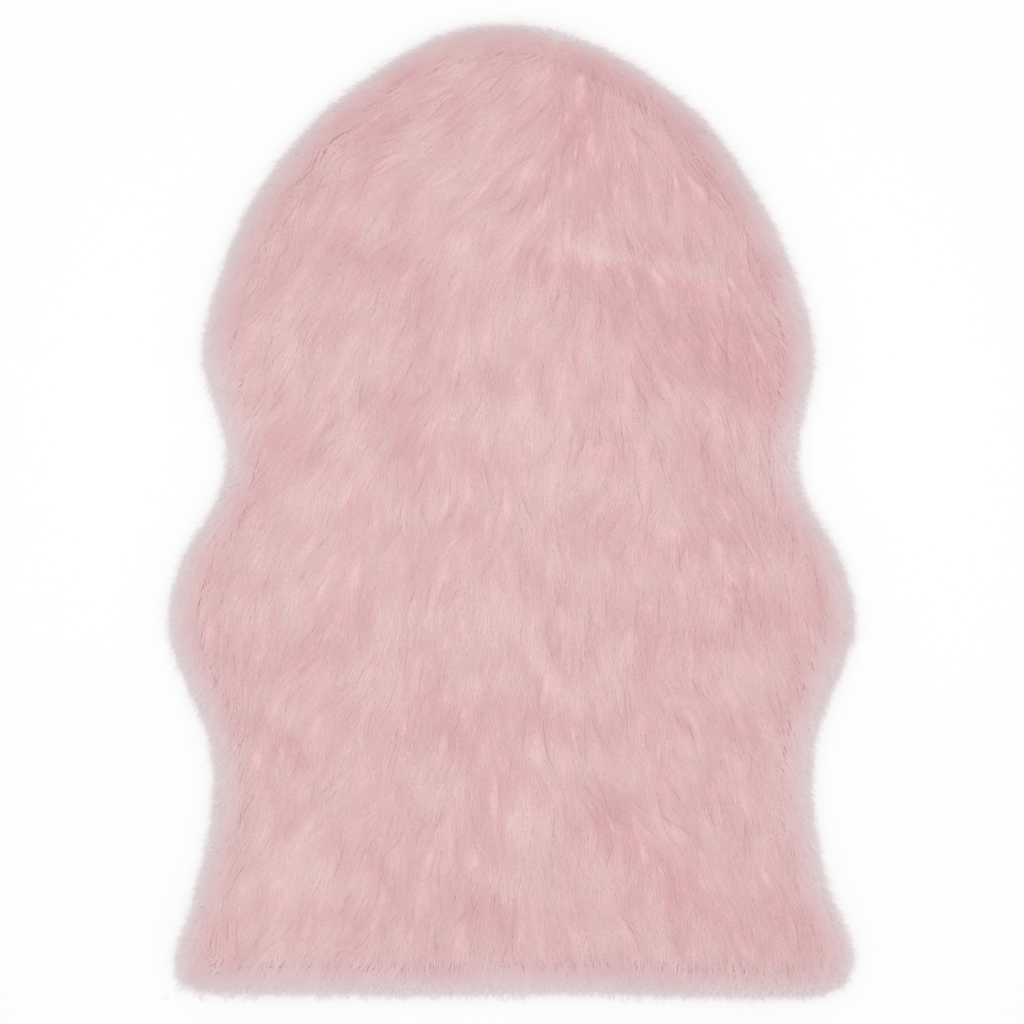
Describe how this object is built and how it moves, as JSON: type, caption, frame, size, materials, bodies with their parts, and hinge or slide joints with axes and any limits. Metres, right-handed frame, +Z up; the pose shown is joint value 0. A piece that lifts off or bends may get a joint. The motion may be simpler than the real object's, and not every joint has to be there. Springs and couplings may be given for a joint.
{
  "type": "faux sheepskin rug",
  "caption": "Small long-pile faux sheepskin rug with a rounded head, waisted sides with side lobes and a straight flared foot, lying flat.",
  "frame": {"origin": "on the floor plane under the middle of the rug's bounding box", "axes": "+Z up out of the pile, +Y along the rug towards its rounded head, +X towards the right side when the rug is seen from above with its head at the top"},
  "size_m": [0.6422, 0.9102, 0.0327],
  "materials": {
    "pile": "long silky combed acrylic pile, pale dusty pink, greying towards the sparse rim",
    "backing": "plain knitted ground cloth under the pile, matt"
  },
  "bodies": {
    "root": {"rug": "pile"}
  },
  "joints": []
}
